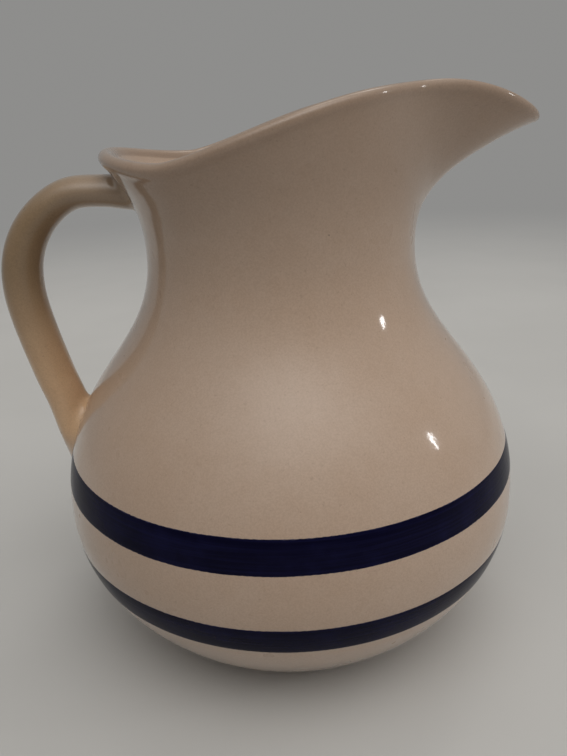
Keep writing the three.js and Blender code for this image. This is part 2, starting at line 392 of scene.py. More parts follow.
def forming_tree(name, sizes, objects=(), lengths=()):
    """A geometry tree with one named input for each size, object and length, and one for the finish."""
    tree = bpy.data.node_groups.new(name, "GeometryNodeTree")
    tree.interface.new_socket("Geometry", in_out="INPUT", socket_type="NodeSocketGeometry")
    labels = {}
    for key, setting in settings_of(sizes):
        kind = "NodeSocketInt" if setting.type == "INT" else "NodeSocketFloat"
        tree.interface.new_socket(setting.name, in_out="INPUT", socket_type=kind)
        labels[key] = setting.name
    for label in lengths:
        tree.interface.new_socket(label, in_out="INPUT", socket_type="NodeSocketFloat")
        labels[label.lower()] = label
    for label in objects:
        tree.interface.new_socket(label, in_out="INPUT", socket_type="NodeSocketObject")
        labels[label.lower()] = label
    tree.interface.new_socket("Finish", in_out="INPUT", socket_type="NodeSocketMaterial")
    tree.interface.new_socket("Geometry", in_out="OUTPUT", socket_type="NodeSocketGeometry")
    entry = tree.nodes.new("NodeGroupInput")
    size = SimpleNamespace(**{key: Field(tree, entry.outputs[label]) for key, label in labels.items()})
    size.geometry = entry.outputs["Geometry"]
    size.finish = entry.outputs["Finish"]
    return tree, size


def finish_tree(tree, geometry, finish):
    """Ends a tree: smooth faces, real geometry, one finish."""
    smooth = add(tree, "GeometryNodeSetShadeSmooth", {"Geometry": geometry})
    real = add(tree, "GeometryNodeRealizeInstances", {"Geometry": smooth.outputs[0]})
    coated = add(tree, "GeometryNodeSetMaterial", {"Geometry": real.outputs[0], "Material": finish})
    leave = tree.nodes.new("NodeGroupOutput")
    tree.links.new(coated.outputs[0], leave.inputs["Geometry"])


def surface_of(tree, thing, outside_only=False):
    """The mesh of another piece, or only the outside of its wall."""
    info = add(tree, "GeometryNodeObjectInfo", {"Object": thing}, transform_space="ORIGINAL")
    if not outside_only:
        return info.outputs["Geometry"]
    cut = add(
        tree,
        "GeometryNodeDeleteGeometry",
        {"Geometry": info.outputs["Geometry"], "Selection": named(tree, "inside") > 0.5},
        domain="FACE",
    )
    return cut.outputs[0]


def form_piece(name, tree, values, mesh=None):
    """Runs a tree on a plain object and keeps its result as a mesh of its own."""
    former = bpy.data.objects.new(name + "_former", mesh or bpy.data.meshes.new(name + "_former"))
    bpy.context.scene.collection.objects.link(former)
    modifier = former.modifiers.new(tree.name, "NODES")
    modifier.node_group = tree
    for item in tree.interface.items_tree:
        if item.item_type == "SOCKET" and item.in_out == "INPUT" and item.name in values:
            modifier[item.identifier] = values[item.name]
    formed = former.evaluated_get(bpy.context.evaluated_depsgraph_get())
    piece = bpy.data.objects.new(name, bpy.data.meshes.new_from_object(formed))
    piece.data.name = name
    bpy.data.objects.remove(former)
    bpy.context.scene.collection.objects.link(piece)
    if not piece.data.polygons:
        raise RuntimeError(name + " came out empty")
    return piece


def values_of(sizes):
    return {setting.name: getattr(sizes, key) for key, setting in settings_of(sizes)}


# The thrown vessel

FOOT_END = 0.12
HEEL_END = 0.14
BELLY_SHARE = 0.42
NECK_SHARE = 0.74
COLLAR_TOP = 0.984
OUTSIDE_ROWS = 140
BEAD_ROWS = 22
INSIDE_ROWS = 116
SPONGED_ROWS = 7  # rows on each side of a corner beside the bead that are smoothed
SLOPE_STEP = 0.0015  # half the stretch over which the wall's slope is measured


def pulled_rim(size, angle):
    """Radius, height and bead of the rim at an angle from the spout."""
    back = (1 - angle.cos()) * 0.5
    round_rim = mix(size.rim_side_radius, size.rim_back_radius, back * back)
    radius = round_rim + (size.spout_reach - size.rim_side_radius) * (1 - back) ** size.spout_sharpness
    place = radius * angle.cos()
    climb = ((place - size.rim_dip_place) / (size.rim_crest_place - size.rim_dip_place)).above(0.0)
    climb = (climb ** size.rim_climb_shape).eased()
    past_crest = ((place - size.rim_crest_place) / (size.spout_reach - size.rim_crest_place)).above(0.0)
    past_dip = ((size.rim_dip_place - place) / (size.rim_dip_place + size.rim_back_radius)).above(0.0)
    height = (
        mix(size.rim_dip_height, size.rim_crest_height, climb)
        + (size.spout_tip_height - size.rim_crest_height) * past_crest * past_crest
        + (size.rim_back_height - size.rim_dip_height) * past_dip * past_dip
    )
    bead = mix(size.bead_back, size.bead_tip, (1 - back) ** 2.0)
    return radius, height, bead


def bezier_weights(t):
    left = 1 - t
    return 3 * left * left * t, 3 * left * t * t, t * t * t


def meridian(size, rim_radius, rim_height, part):
    """Radius and height of the outside at a part, 0 to 1, of the way from the foot's middle to the rim."""

    def stretch(start, end):
        return ((part - start) / (end - start)).clamped()

    foot = (part / FOOT_END).below(1.0)
    heel = stretch(FOOT_END, HEEL_END)
    radius = (size.foot_radius - size.heel_bevel) * foot + size.heel_bevel * heel
    height = size.foot_dish * (1 - ((foot - 0.8) / 0.09).eased()) + size.heel_bevel * heel

    near, far, end = bezier_weights(stretch(HEEL_END, BELLY_SHARE))
    swell = size.belly_radius - size.foot_radius
    radius = radius + size.heel_run * near + swell * far + swell * end
    height = height + (size.heel_rise - size.heel_bevel) * near
    height = height + (size.belly_height - size.fullness_below - size.heel_bevel) * far
    height = height + (size.belly_height - size.heel_bevel) * end

    near, far, end = bezier_weights(stretch(BELLY_SHARE, NECK_SHARE))
    draw_in = size.neck_radius - size.belly_radius
    rise = size.neck_height - size.belly_height
    radius = radius + draw_in * far + draw_in * end
    height = height + size.fullness_above * near + (rise - size.neck_length) * far + rise * end

    near, far, end = bezier_weights(stretch(NECK_SHARE, 1.0))
    overhang = rim_radius - size.neck_radius
    rise = rim_height - size.neck_height
    radius = radius + overhang * (1 - size.flare) * far + overhang * end
    height = height + rise * size.collar_rise * near + (rise - size.flare_drop) * far + rise * end
    return radius, height


def vessel_tree(sizes):
    """One skin that runs up the outside, rolls over the rim and runs down the inside."""
    tree, size = forming_tree("Thrown vessel", sizes)
    last_row = OUTSIDE_ROWS + BEAD_ROWS + INSIDE_ROWS + 2
    grid = add(
        tree,
        "GeometryNodeMeshGrid",
        {"Size X": 1.0, "Size Y": 1.0, "Vertices X": size.around + 1, "Vertices Y": last_row + 1},
    )
    across, along, _ = split(tree, add(tree, "GeometryNodeInputPosition").outputs[0])
    turn = (across + 0.5) * math.tau
    angle = turn - size.spout_crowding * turn.sin()
    row = (along + 0.5) * last_row

    first_bead_row = OUTSIDE_ROWS + 1
    first_inside_row = first_bead_row + BEAD_ROWS + 1
    on_bead = row > first_bead_row - 0.5
    on_inside = row > first_inside_row - 0.5
    outside_part = (row / OUTSIDE_ROWS).below(1.0) * COLLAR_TOP
    inside_part = ((last_row - row) / INSIDE_ROWS).below(1.0) * COLLAR_TOP
    part = mix(mix(outside_part, 1.0, on_bead), inside_part, on_inside)

    rim_radius, rim_height, bead = pulled_rim(size, angle)
    radius_before, height_before = meridian(size, rim_radius, rim_height, part - SLOPE_STEP)
    radius_after, height_after = meridian(size, rim_radius, rim_height, part + SLOPE_STEP)
    run = radius_after - radius_before
    rise = height_after - height_before
    span = (run * run + rise * rise).root()
    run = run / span
    rise = rise / span

    collar_wall = bead * size.collar_wall
    floor_left = ((part - HEEL_END) / 0.1).eased()
    in_collar = ((part - NECK_SHARE) / (1 - NECK_SHARE)).clamped()
    wall = mix(mix(size.floor, size.wall, floor_left), collar_wall, in_collar)
    undercut = math.acos(0.8)
    roll = mix(-undercut, math.pi + undercut, (row - first_bead_row) / BEAD_ROWS)
    bead_out = bead * 0.5 * roll.cos() - collar_wall * 0.5
    bead_up = bead * 0.5 * roll.sin()
    out = mix(mix(0.0, bead_out, on_bead), -1 * wall, on_inside)
    up = mix(mix(0.0, bead_up, on_bead), 0.0, on_inside)

    tip_only = (part > 0.9999) * on_bead
    radius = mix((radius_before + radius_after) * 0.5, radius_after, tip_only) + rise * out + run * up
    height = mix((height_before + height_after) * 0.5, height_after, tip_only) - run * out + rise * up
    place = combine(tree, radius * angle.cos(), radius * angle.sin(), height)
    edge = mix(((part - 0.93) / 0.054).eased() * 0.6, 1.0, on_bead * (1 - on_inside))
    skin = store(tree, grid.outputs["Mesh"], "edge", edge)
    skin = store(tree, skin, "inside", on_inside)
    outer_seam = (row - (first_bead_row - 0.5)).magnitude()
    inner_seam = (row - (first_inside_row - 0.5)).magnitude()
    skin = store(tree, skin, "crease", (1 - outer_seam.below(inner_seam) / SPONGED_ROWS).above(0.0))
    placed = add(tree, "GeometryNodeSetPosition", {"Geometry": skin, "Position": place})
    sewn = add(tree, "GeometryNodeMergeByDistance", {"Geometry": placed.outputs[0], "Distance": 2e-5})
    here = add(tree, "GeometryNodeInputPosition").outputs[0]
    soft = add(
        tree,
        "GeometryNodeBlurAttribute",
        {"Value": here, "Iterations": size.rim_sponging, "Weight": named(tree, "crease")},
        data_type="FLOAT_VECTOR",
    )
    sponged = add(tree, "GeometryNodeSetPosition", {"Geometry": sewn.outputs[0], "Position": soft.outputs[0]})
    clean = add(tree, "GeometryNodeRemoveAttribute", {"Geometry": sponged.outputs[0], "Name": "crease"})
    finish_tree(tree, clean.outputs[0], size.finish)
    return tree


# The pulled handle

UPPER_SUNK = 0.006  # length of the strap inside the wall at the upper root
LOWER_SUNK = 0.018  # and at the lower root
BLEND_SHARE = 0.8  # share of the quarter round that is smoothed into a corner, so it ends in a clear edge

def handle_line(vessel, sizes, rim_back_height):
    """A smooth line along the strap's middle, through guide points set by distance from the axis and height."""

    def wall_at(height):
        hit, place, _, _ = vessel.ray_cast(Vector((-0.3, 0, height)), Vector((1, 0, 0)))
        if not hit:
            raise RuntimeError("the handle found no wall to sit on")
        return -place.x

    top = rim_back_height - sizes.upper_root_drop
    low = sizes.lower_root_height
    upper_wall = wall_at(top)
    lower_wall = wall_at(low)
    span = sizes.reach - upper_wall
    low_span = sizes.reach - lower_wall
    low_rise = sizes.waist_height - low
    shoulder = top - sizes.shoulder_drop
    guides = [
        (upper_wall - UPPER_SUNK, top - 0.001),
        (upper_wall + 0.22 * span, top + 0.001),
        (upper_wall + 0.52 * span, top),
        (upper_wall + 0.79 * span, shoulder),
        (sizes.reach - 0.002, mix(shoulder, sizes.waist_height, 0.45)),
        (sizes.reach, sizes.waist_height),
        (lower_wall + 0.54 * low_span, low + 0.46 * low_rise),
        (lower_wall + 0.28 * low_span, low + 0.26 * low_rise),
        (lower_wall + 0.03 * low_span, low + 0.03 * low_rise),
        (lower_wall - 0.0024, low - 0.0072),
        (lower_wall - 0.0084, low - 0.0168),
    ]
    return smooth_line([Vector((-reach, 0, height)) for reach, height in guides], 24)


def smooth_line(guides, steps):
    """A centripetal curve through the guide points."""
    guides = [2 * guides[0] - guides[1], *guides, 2 * guides[-1] - guides[-2]]
    line = []
    for before, start, end, after in zip(guides, guides[1:], guides[2:], guides[3:]):
        gaps = [math.sqrt((b - a).length) for a, b in ((before, start), (start, end), (end, after))]
        leave = (start - before) / gaps[0] - (end - before) / (gaps[0] + gaps[1]) + (end - start) / gaps[1]
        arrive = (end - start) / gaps[1] - (after - start) / (gaps[1] + gaps[2]) + (after - end) / gaps[2]
        leave *= gaps[1]
        arrive *= gaps[1]
        bend = 3 * (end - start) - 2 * leave - arrive
        twist = 2 * (start - end) + leave + arrive
        for number in range(steps):
            t = number / steps
            line.append(start + leave * t + bend * t * t + twist * t * t * t)
    line.append(guides[-2])
    return line


def handle_tree(sizes):
    """An oval strap swept along its line, with its roots smoothed into the wall."""
    tree, size = forming_tree("Pulled handle", sizes, objects=["Vessel"])
    line = add(tree, "GeometryNodeMeshToCurve", {"Mesh": size.geometry})
    even = add(
        tree, "GeometryNodeResampleCurve", {"Curve": line.outputs[0], "Count": size.along}, mode="COUNT"
    )
    spline = add(tree, "GeometryNodeSplineParameter")
    whole = field(tree, "GeometryNodeSplineLength")
    curve = store(tree, even.outputs[0], "along", spline.outputs["Factor"])
    curve = store(tree, curve, "run", spline.outputs["Length"])
    curve = store(tree, curve, "left", whole - Field(tree, spline.outputs["Length"]))
    here = add(tree, "GeometryNodeInputPosition").outputs[0]
    curve = store(tree, curve, "middle", here, "FLOAT_VECTOR")
    ring = add(
        tree, "GeometryNodeCurvePrimitiveCircle", {"Resolution": size.sides, "Radius": 1.0}, mode="RADIUS"
    )
    strap = add(
        tree,
        "GeometryNodeCurveToMesh",
        {"Curve": curve, "Profile Curve": ring.outputs["Curve"], "Fill Caps": True},
    )

    along = named(tree, "along")
    middle = named(tree, "middle", "FLOAT_VECTOR")
    upper_flare = fading(named(tree, "run") - UPPER_SUNK, size.flare_length) * size.upper_flare
    lower_flare = fading(named(tree, "left") - LOWER_SUNK, size.flare_length) * size.lower_flare
    thick = mix(size.thickness_top, size.thickness_bottom, (along * 2).eased()) * (1 + upper_flare)
    wide = mix(size.width_top, size.width_bottom, along) * (1 + lower_flare)
    spoke = vector(tree, "SUBTRACT", here, middle)
    half = combine(tree, thick * 0.5, wide * 0.5, thick * 0.5)
    oval = vector(tree, "ADD", middle, vector(tree, "MULTIPLY", spoke, half))
    strap = store(tree, strap.outputs[0], "spoke", spoke, "FLOAT_VECTOR")
    shaped = add(tree, "GeometryNodeSetPosition", {"Geometry": strap, "Position": oval})

    wall = surface_of(tree, size.vessel, outside_only=True)
    nearest = field(
        tree, "GeometryNodeProximity", {"Geometry": wall}, outlet="Position", target_element="FACES"
    )
    face = field(
        tree,
        "GeometryNodeSampleNearestSurface",
        {"Mesh": wall, "Value": add(tree, "GeometryNodeInputNormal").outputs["Normal"]},
        data_type="FLOAT_VECTOR",
    )
    clear = dot(tree, vector(tree, "SUBTRACT", here, nearest), face)
    blend = mix(size.upper_blend, size.lower_blend, (along * 3 - 1).eased())
    short = (blend * BLEND_SHARE - clear.above(0.0)).above(0.0)
    spread = blend - (blend * blend - short * short).root()
    spoke = named(tree, "spoke", "FLOAT_VECTOR")
    lean = dot(tree, spoke, face)
    sideways = vector(tree, "NORMALIZE", vector(tree, "SUBTRACT", spoke, scaled(tree, face, lean)))
    lift = (-1 * clear - size.bury).above(0.0)
    shift = vector(tree, "ADD", scaled(tree, sideways, spread), scaled(tree, face, lift))
    seated = add(tree, "GeometryNodeSetPosition", {"Geometry": shaped.outputs[0], "Offset": shift})
    strap = seated.outputs[0]
    for name in ("spoke", "middle", "left"):
        strap = add(tree, "GeometryNodeRemoveAttribute", {"Geometry": strap, "Name": name}).outputs[0]
    finish_tree(tree, strap, size.finish)
    return tree


def fading(distance, reach):
    """1 at the start, fading to nothing past the reach."""
    part = distance.above(0.0) / reach
    return (-1 * part * part).exponential()


# The brushed bands

BAND_LIP = 0.00005  # how deep the edges of a band are tucked into the wall

def band_tree(sizes):
    """A thin ring of slip laid on the wall, with edges that wander as a brush does."""
    tree, size = forming_tree("Brushed band", sizes, objects=["Vessel"], lengths=["Top", "Bottom"])
    grid = add(
        tree,
        "GeometryNodeMeshGrid",
        {"Size X": 1.0, "Size Y": 1.0, "Vertices X": size.around + 1, "Vertices Y": size.rows + 1},
    )
    along, across, _ = split(tree, add(tree, "GeometryNodeInputPosition").outputs[0])
    angle = (along + 0.5) * math.tau
    part = across + 0.5
    east = angle.cos()
    north = angle.sin()

    def wander(offset):
        spot = combine(tree, east * 1.6, north * 1.6, offset)
        fine = combine(tree, east * 9, north * 9, offset)
        slow = field(tree, "ShaderNodeTexNoise", {"Vector": spot, "Scale": 1.0, "Detail": 1.0})
        quick = field(tree, "ShaderNodeTexNoise", {"Vector": fine, "Scale": 1.0, "Detail": 1.0})
        return ((slow - 0.5) * 2 + (quick - 0.5) * 0.5) * size.wobble

    lifted = (angle - size.sag_angle).cos().above(0.0)
    bottom = size.bottom + wander(size.bottom * 90) - size.sag * lifted * lifted
    top = size.top + wander(size.top * 90 + 5)
    height = mix(bottom, top, part)
    ray = add(
        tree,
        "GeometryNodeRaycast",
        {
            "Target Geometry": surface_of(tree, size.vessel, outside_only=True),
            "Source Position": combine(tree, east * 0.2, north * 0.2, height),
            "Ray Direction": combine(tree, -1 * east, -1 * north, 0.0),
            "Ray Length": 0.2,
        },
    )
    brim = part * 2 - 1
    brim = brim * brim
    crown = 1 - brim ** 6.0
    skin = store(tree, grid.outputs["Mesh"], "across", part)
    skin = store(tree, skin, "around", along + 0.5)

    def sheet(depth):
        out = scaled(tree, ray.outputs["Hit Normal"], depth * crown - BAND_LIP)
        place = vector(tree, "ADD", ray.outputs["Hit Position"], out)
        return add(tree, "GeometryNodeSetPosition", {"Geometry": skin, "Position": place}).outputs[0]

    outer = sheet(size.coat + BAND_LIP)
    inner = add(tree, "GeometryNodeFlipFaces", {"Mesh": sheet(-1 * size.key)})
    both = add(tree, "GeometryNodeJoinGeometry")
    tree.links.new(outer, both.inputs[0])
    tree.links.new(inner.outputs[0], both.inputs[0])
    sewn = add(tree, "GeometryNodeMergeByDistance", {"Geometry": both.outputs[0], "Distance": 1e-6})
    finish_tree(tree, sewn.outputs[0], size.finish)
    return tree


# The iron specks


def speck_tree(sizes):
    """Flat grains scattered over the outside of the vessel."""
    tree, size = forming_tree("Iron specks", sizes, objects=["Vessel"])
    wall = surface_of(tree, size.vessel, outside_only=True)
    height = split(tree, add(tree, "GeometryNodeInputPosition").outputs[0])[2]
    spots = add(
        tree,
        "GeometryNodeDistributePointsOnFaces",
        {"Mesh": wall, "Selection": height > 0.004, "Density": size.density, "Seed": size.seed},
    )
    chance = field(
        tree, "FunctionNodeRandomValue", {2: 0.0, 3: 1.0, "Seed": size.seed + 1}, outlet=1, data_type="FLOAT"
    )
    grain = add(tree, "GeometryNodeMeshIcoSphere", {"Radius": 1.0, "Subdivisions": 1})
    radius = mix(size.smallest, size.largest, chance * chance * chance)
    grains = add(
        tree,
        "GeometryNodeInstanceOnPoints",
        {
            "Points": spots.outputs["Points"],
            "Instance": grain.outputs["Mesh"],
            "Rotation": spots.outputs["Rotation"],
            "Scale": combine(tree, radius, radius, radius * size.flatness),
        },
    )
    real = add(tree, "GeometryNodeRealizeInstances", {"Geometry": grains.outputs[0]})
    finish_tree(tree, real.outputs[0], size.finish)
    return tree


# Finishes

RIPPLE_HEIGHT = 0.00022

def new_finish(name):
    finish = bpy.data.materials.new(name)
    finish.use_nodes = True
    tree = finish.node_tree
    return finish, tree, tree.nodes["Principled BSDF"]


def noise(tree, spot, scale, detail=2.0, roughness=0.5):
    inputs = {"Vector": spot, "Scale": scale, "Detail": detail, "Roughness": roughness}
    return field(tree, "ShaderNodeTexNoise", inputs, outlet="Fac")


def ramp(tree, value, start, end, low=0.0, high=1.0):
    """Maps a stretch of a value, eased at both ends, to another stretch."""
    inputs = {"Value": value, "From Min": start, "From Max": end, "To Min": low, "To Max": high}
    return field(tree, "ShaderNodeMapRange", inputs, interpolation_type="SMOOTHSTEP")


def blend_colour(tree, part, low, high, blend="MIX"):
    def opaque(value):
        return value if isinstance(value, Field) else (*value, 1.0)

    inputs = {0: part, 6: opaque(low), 7: opaque(high)}
    return field(tree, "ShaderNodeMix", inputs, outlet=2, data_type="RGBA", blend_type=blend)


def shaded(tree, tint, value):
    """A colour made darker or lighter by a value."""
    return blend_colour(tree, 1.0, tint, combine(tree, value, value, value), "MULTIPLY")


def gloss(tree, surface, ripple, refraction, sheen):
    """The glassy skin of the glaze, with its ripple."""
    surface.inputs["Coat Roughness"].default_value = 0.07
    surface.inputs["Coat IOR"].default_value = refraction
    surface.inputs["Specular IOR Level"].default_value = sheen
    relief = add(tree, "ShaderNodeBump", {"Height": ripple, "Distance": RIPPLE_HEIGHT}).outputs[0]
    plug(tree, relief, surface.inputs["Normal"])
    plug(tree, relief, surface.inputs["Coat Normal"])


def attribute(tree, name):
    return field(tree, "ShaderNodeAttribute", outlet="Fac", attribute_name=name)


def vessel_colour(tree, spot, colours):
    """Cream, darkened as painted shade outside on the collar."""
    _, _, height = split(tree, spot)
    # Painted shade on the outside of the collar.
    collar = ramp(tree, height, 0.14, 0.182) * (1 - attribute(tree, "inside"))
    return blend_colour(tree, collar, colours.cream, colours.collar_cream_painted_shade)


def handle_colour(tree, spot, colours):
    """Cream darkened as painted shade at the upper root and more on the bend, a warmer glaze lightened as
    painted light lower down, and cream at the lower root.
    """
    along = attribute(tree, "along")
    # Painted shade at the top and on the bend, and painted light on the lower part.
    bend = blend_colour(tree, ramp(tree, along, 0.08, 0.3), colours.handle_top_painted_shade, colours.bend_painted_shade)
    lower = blend_colour(tree, ramp(tree, along, 0.4, 0.78), bend, colours.honey_and_painted_light)
    return blend_colour(tree, ramp(tree, along, 0.84, 0.95), lower, colours.cream)


def glaze(name, lay, colours, has_foot):
    """A glossy glaze with clouds, fine grain and a soft skin, and bare clay under the foot."""
    finish, tree, surface = new_finish(name)
    spot = add(tree, "ShaderNodeTexCoord").outputs["Object"]
    base = lay(tree, spot, colours)
    clouds = ramp(tree, noise(tree, spot, 24, 3, 0.55), 0.34, 0.68)
    patches = ramp(tree, noise(tree, spot, 150, 2, 0.6), 0.3, 0.75)
    thinness = (clouds * 0.5 + patches * 0.22 + attribute(tree, "edge") * 0.4).clamped()
    tint = blend_colour(tree, thinness, base, colours.warm_tint, "MULTIPLY")
    grain = ramp(tree, noise(tree, spot, 1700, 2, 0.6), 0.3, 0.7, 0.94, 1.05)
    peppery = ramp(tree, noise(tree, spot, 900, 1, 0.4), 0.69, 0.76, 1.0, 0.9)
    tint = shaded(tree, tint, grain * peppery)
    polish = ramp(tree, noise(tree, spot, 60, 3, 0.6), 0.25, 0.75, 0.26, 0.36)
    ripple = noise(tree, spot, 75, 2, 0.4) * 0.8 + noise(tree, spot, 420, 1, 0.4) * 0.12
    if has_foot:
        east, north, height = split(tree, spot)
        line = height + noise(tree, spot, 90, 3, 0.6) * 0.0012
        bare = ramp(tree, line, 0.0012, 0.0019, 1.0, 0.0)
        grit = ramp(tree, noise(tree, spot, 700, 3, 0.7), 0.3, 0.75, 0.72, 1.12)
        clay = shaded(tree, colours.bare_clay, grit)
        tint = blend_colour(tree, bare, tint, clay)
        polish = mix(polish, 0.85, bare)
        rings = ((east * east + north * north).root() * 1900).sin()
        rough = noise(tree, spot, 1400, 2, 0.6) * 1.5 + rings * 0.25
        ripple = mix(ripple, rough, bare)
        plug(tree, 1 - bare, surface.inputs["Coat Weight"])
    else:
        surface.inputs["Coat Weight"].default_value = 1.0
    plug(tree, tint, surface.inputs["Base Color"])
    plug(tree, polish, surface.inputs["Roughness"])
    gloss(tree, surface, ripple, refraction=1.42, sheen=0.1)
    return finish


def cobalt(name, colours):
    """Dark blue slip under the glaze, streaked by the brush and bleeding a little at its edges."""
    finish, tree, surface = new_finish(name)
    spot = add(tree, "ShaderNodeTexCoord").outputs["Object"]
    across = attribute(tree, "across")
    turn = attribute(tree, "around") * math.tau
    lane = combine(tree, turn.cos() * 1.5, turn.sin() * 1.5, across * 14)
    streaks = ramp(tree, noise(tree, lane, 1.0, 3, 0.6), 0.4, 0.72)
    pools = ramp(tree, noise(tree, spot, 70, 3, 0.6), 0.42, 0.72)
    tint = blend_colour(tree, (streaks * 0.6 + pools * 0.5).clamped(), colours.blue, colours.blue_thin)
    inset = (0.5 - (across - 0.5).magnitude()) + (noise(tree, spot, 420, 2, 0.6) - 0.5) * 0.05
    bleed = ramp(tree, inset, 0.005, 0.06, 0.85, 0.0)
    tint = blend_colour(tree, bleed, tint, colours.blue_edge)
    plug(tree, tint, surface.inputs["Base Color"])
    polish = ramp(tree, noise(tree, spot, 60, 3, 0.6), 0.25, 0.75, 0.24, 0.36)
    plug(tree, polish, surface.inputs["Roughness"])
    surface.inputs["Coat Weight"].default_value = 0.6
    ripple = noise(tree, spot, 75, 2, 0.4) * 0.8 + streaks * 0.08
    gloss(tree, surface, ripple, refraction=1.2, sheen=0.0)
    return finish


def iron(name, colours):
    """Iron grains: dark brown, paler where the glaze has covered them."""
    finish, tree, surface = new_finish(name)
    spot = add(tree, "ShaderNodeTexCoord").outputs["Object"]
    cover = ramp(tree, noise(tree, spot, 160, 1, 0.5), 0.35, 0.7)
    tint = blend_colour(tree, cover, colours.iron, colours.collar_cream_painted_shade * 0.65)
    polish = ramp(tree, noise(tree, spot, 900, 1, 0.5), 0.3, 0.7, 0.25, 0.45)
    plug(tree, tint, surface.inputs["Base Color"])
    plug(tree, polish, surface.inputs["Roughness"])
    return finish


def finish_named(name, make, *arguments):
    return bpy.data.materials.get(name) or make(name, *arguments)


# Operators


def piece_named(name):
    piece = bpy.data.objects.get(name)
    if piece is None:
        raise RuntimeError("make " + name + " first")
    return piece


class PITCHER_OT_throw_vessel(bpy.types.Operator):
    """Throw the vessel: foot, belly, neck, collar, rolled rim and pulled spout in one wall"""

    bl_idname = "pitcher.throw_vessel"
    bl_label = "Throw the vessel"

    def execute(self, context):
        settings = context.scene.pitcher
        finish = finish_named("thick_cream_glaze_with_painted_collar_shade", glaze, vessel_colour, settings.colours, True)
        values = values_of(settings.vessel)
        values["Finish"] = finish
        vessel = form_piece("thrown_vessel", vessel_tree(settings.vessel), values)
        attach(vessel, "root")
        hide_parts("body")
        return {"FINISHED"}


class PITCHER_OT_pull_handle(bpy.types.Operator):
    """Pull the strap handle and smooth its roots into the collar and the belly"""

    bl_idname = "pitcher.pull_handle"
    bl_label = "Pull the handle"

    def execute(self, context):
        settings = context.scene.pitcher
        vessel = piece_named("thrown_vessel")
        line = handle_line(vessel, settings.handle, settings.vessel.rim_back_height)
        mesh = bpy.data.meshes.new("handle_line")
        mesh.from_pydata(line, [(number, number + 1) for number in range(len(line) - 1)], [])
        values = values_of(settings.handle)
        values["Vessel"] = vessel
        values["Finish"] = finish_named("handle_glaze_with_painted_light_and_shade", glaze, handle_colour, settings.colours, False)
        handle = form_piece("pulled_handle", handle_tree(settings.handle), values, mesh)
        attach(handle, "root")
        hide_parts("handle", "upper_joint_slip", "lower_joint_slip")
        return {"FINISHED"}


class PITCHER_OT_brush_bands(bpy.types.Operator):
    """Brush the two bands of blue slip round the belly"""

    bl_idname = "pitcher.brush_bands"
    bl_label = "Brush the bands"

    def execute(self, context):
        settings = context.scene.pitcher
        bands = settings.bands
        tree = band_tree(settings.brush)
        for name, node, top, bottom, sags in (
            ("upper_blue_band", "upper_band", bands.upper_top, bands.upper_bottom, True),
            ("lower_blue_band", "lower_band", bands.lower_top, bands.lower_bottom, False),
        ):
            values = values_of(settings.brush)
            values["Vessel"] = piece_named("thrown_vessel")
            values["Top"] = top
            values["Bottom"] = bottom
            values["Finish"] = finish_named("brushed_cobalt", cobalt, settings.colours)
            if not sags:
                values["Sag"] = 0.0
            band = form_piece(name, tree, values)
            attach(band, "root")
            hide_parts(node)
        return {"FINISHED"}


class PITCHER_OT_scatter_specks(bpy.types.Operator):
    """Scatter the iron specks over the outside of the vessel"""

    bl_idname = "pitcher.scatter_specks"
    bl_label = "Scatter the specks"

    def execute(self, context):
        settings = context.scene.pitcher
        values = values_of(settings.specks)
        values["Vessel"] = piece_named("thrown_vessel")
        values["Finish"] = finish_named("iron_specks", iron, settings.colours)
        specks = form_piece("iron_specks", speck_tree(settings.specks), values)
        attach(specks, "root")
        return {"FINISHED"}


class PITCHER_OT_set_stage(bpy.types.Operator):
    """Set the pitcher on a pale table in soft light and stand the camera in front of it"""

    bl_idname = "pitcher.set_stage"
    bl_label = "Set the stage"

    def execute(self, context):
        scene = context.scene
        studio = scene.pitcher.studio
        scene.view_settings.view_transform = "Standard"
        lay_table(scene, studio)
        hang_light(scene, studio)
        stand_camera(scene, studio)
        return {"FINISHED"}


TABLE_HALF = 6.0
TABLE_LEVEL = -0.0002
HAZE_START = 0.35  # distances over which the table fades into the backdrop
HAZE_END = 1.3


def seen_directly(tree):
    """1 for what the camera sees, also in a reflection or through glass, and 0 for light on a surface."""
    rays = add(tree, "ShaderNodeLightPath")
    seen = Field(tree, rays.outputs["Is Camera Ray"]) + Field(tree, rays.outputs["Is Glossy Ray"])
    return (seen + Field(tree, rays.outputs["Is Transmission Ray"])).clamped()


def lay_table(scene, studio):
    corners = [(TABLE_HALF * x, TABLE_HALF * y, TABLE_LEVEL) for x, y in ((-1, -1), (1, -1), (1, 1), (-1, 1))]
    mesh = bpy.data.meshes.new("table")
    mesh.from_pydata(corners, [], [(0, 1, 2, 3)])
    table = bpy.data.objects.new("table", mesh)
    scene.collection.objects.link(table)
    finish, tree, surface = new_finish("pale_table")
    spot = add(tree, "ShaderNodeTexCoord").outputs["Object"]
    cloud = ramp(tree, noise(tree, spot, 5, 3, 0.6), 0.3, 0.7, 0.97, 1.03)
    plug(tree, shaded(tree, studio.table, cloud), surface.inputs["Base Color"])
    surface.inputs["Roughness"].default_value = 0.6
    surface.inputs["Specular IOR Level"].default_value = 0.2
    distance = vector(tree, "LENGTH", spot, outlet="Value")
    hazy = ramp(tree, distance, HAZE_START, HAZE_END) * seen_directly(tree)
    haze = add(tree, "ShaderNodeEmission", {"Color": (*studio.backdrop, 1.0), "Strength": 1.0})
    mixed = add(tree, "ShaderNodeMixShader", {0: hazy, 1: surface.outputs[0], 2: haze.outputs[0]})
    tree.links.new(mixed.outputs[0], tree.nodes["Material Output"].inputs["Surface"])
    mesh.materials.append(finish)


